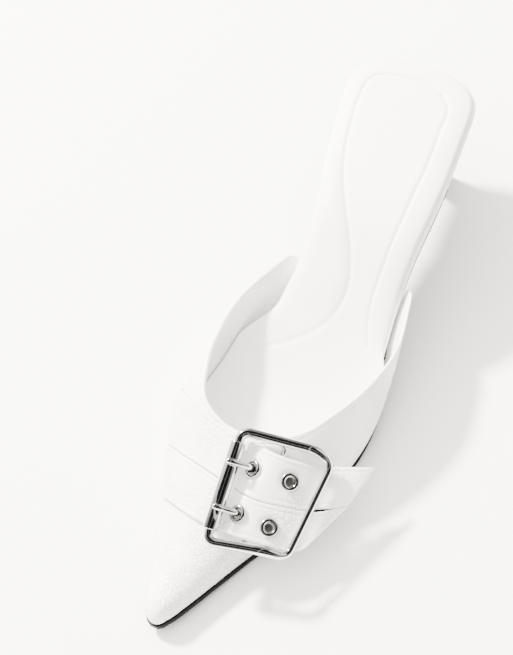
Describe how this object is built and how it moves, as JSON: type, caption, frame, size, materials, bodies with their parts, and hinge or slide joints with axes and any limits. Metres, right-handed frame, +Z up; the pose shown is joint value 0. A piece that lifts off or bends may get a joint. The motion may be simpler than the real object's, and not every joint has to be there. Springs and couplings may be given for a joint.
{
  "type": "pointed mule shoe",
  "caption": "Backless pointed shoe with a closed vamp, a kitten heel, a padded insole and a buckled two-band strap over the vamp.",
  "frame": {"origin": "floor point under the middle of the ball tread", "axes": "+Z up, toe along -Y, the wearer's left (the outside of this left shoe) along +X"},
  "size_m": [0.096, 0.2568, 0.0606],
  "materials": {
    "leather": "crackled satin white leather",
    "sock": "smooth matt white lining leather",
    "sole": "glossy black",
    "top_piece": "matt black",
    "chrome": "polished chrome plate"
  },
  "bodies": {
    "root": {"outsole": "sole", "heel": "sole", "top_piece": "top_piece", "midsole": "leather", "insole": "sock", "upper": "leather", "strap_rear": "leather", "strap_front": "leather", "buckle_frame": "chrome", "buckle_roller": "chrome", "prong_rear": "chrome", "prong_front": "chrome", "eyelet_rear_inner": "chrome", "eyelet_rear_outer": "chrome", "eyelet_front_inner": "chrome", "eyelet_front_outer": "chrome"}
  },
  "joints": []
}
